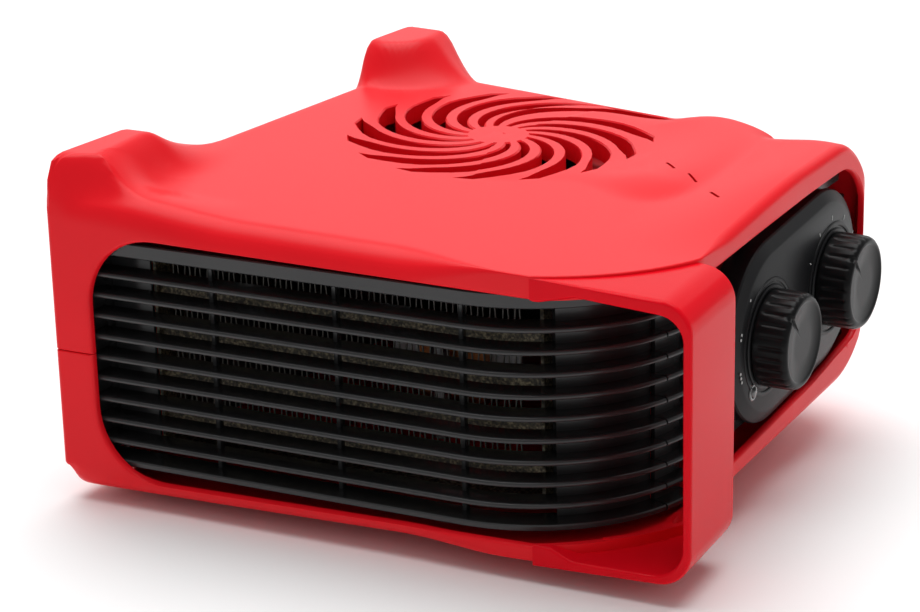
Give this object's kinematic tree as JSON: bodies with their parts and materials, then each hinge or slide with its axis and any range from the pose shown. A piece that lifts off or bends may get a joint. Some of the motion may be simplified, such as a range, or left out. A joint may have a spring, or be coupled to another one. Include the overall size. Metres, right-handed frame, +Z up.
{
  "type": "fan heater",
  "caption": "Two-position electric fan heater: clamshell housing with a wrap-round slatted outlet, spiral top intake, corner carrying handle, selector and thermostat knobs on the side.",
  "frame": {"origin": "centre of the bounding box's underside, on the table plane under the rubber feet", "axes": "+X to the right along the front grille, +Y to the rear, +Z up when the heater lies on its feet"},
  "size_m": [0.285, 0.2552, 0.1453],
  "materials": {
    "shell_red": "satin moulded ABS",
    "handle_red": "high gloss",
    "duct_red": "moulded, unpolished",
    "grille_black": "satin black",
    "panel_black": "fine texture",
    "knob_black": "satin",
    "shaft_steel": "ground",
    "control_body": "phenolic",
    "lamp_lens": "clear lens",
    "impeller_black": "moulded",
    "motor_steel": "stamped sheet",
    "copper": "enamelled wire",
    "bush_bronze": "sintered",
    "screw_zinc": "zinc plated",
    "mica": "speckled mica board",
    "heating_wire": "oxidised resistance wire",
    "rubber_black": "matte"
  },
  "bodies": {
    "housing": {"air_duct": "duct_red", "base_pad_1": "rubber_black", "base_pad_2": "rubber_black", "base_pad_3": "rubber_black", "base_pad_4": "rubber_black", "bottom_shell": "shell_red", "control_plate": "panel_black", "cord_grommet": "rubber_black", "element_frame": "mica", "element_strip_1": "mica", "element_strip_2": "mica", "element_strip_3": "mica", "element_strip_4": "mica", "fan_cover": "duct_red", "foot_front_left": "rubber_black", "foot_front_right": "rubber_black", "foot_rear_left": "rubber_black", "foot_rear_right": "rubber_black", "front_grille": "grille_black", "handle_bracket": "handle_red", "heating_wire_1": "heating_wire", "heating_wire_2": "heating_wire", "heating_wire_3": "heating_wire", "heating_wire_4": "heating_wire", "housing_screws": "screw_zinc", "motor_bushes": "bush_bronze", "motor_coil": "copper", "motor_lower_bridge": "motor_steel", "motor_plate": "motor_steel", "motor_screws": "screw_zinc", "motor_stator": "motor_steel", "motor_upper_bridge": "motor_steel", "pilot_lamp": "lamp_lens", "selector_switch": "control_body", "side_louvre": "grille_black", "terminal_block": "control_body", "terminal_screws": "bush_bronze", "thermal_cutout": "control_body", "thermal_fuse": "screw_zinc", "thermostat_body": "control_body", "top_shell": "shell_red"},
    "selector": {"selector_knob": "knob_black", "selector_shaft": "shaft_steel"},
    "thermostat": {"thermostat_knob": "knob_black", "thermostat_shaft": "shaft_steel"},
    "fan": {"impeller": "impeller_black", "motor_shaft": "shaft_steel", "motor_rotor": "motor_steel"}
  },
  "joints": [
    {"name": "selector_turn", "type": "hinge", "parent": "housing", "child": "selector", "pos_m": [0.1227, -0.01734, 0.07], "axis": [0.9981, -0.0609, 0], "range_deg": [0, 100]},
    {"name": "thermostat_turn", "type": "hinge", "parent": "housing", "child": "thermostat", "pos_m": [0.12669, 0.04804, 0.0742], "axis": [0.9981, -0.0609, 0], "range_deg": [-75, 125]},
    {"name": "fan_spin", "type": "hinge", "parent": "housing", "child": "fan", "pos_m": [-0.01832, 0.03175, 0.067], "axis": [0, 0, 1], "continuous": true}
  ]
}
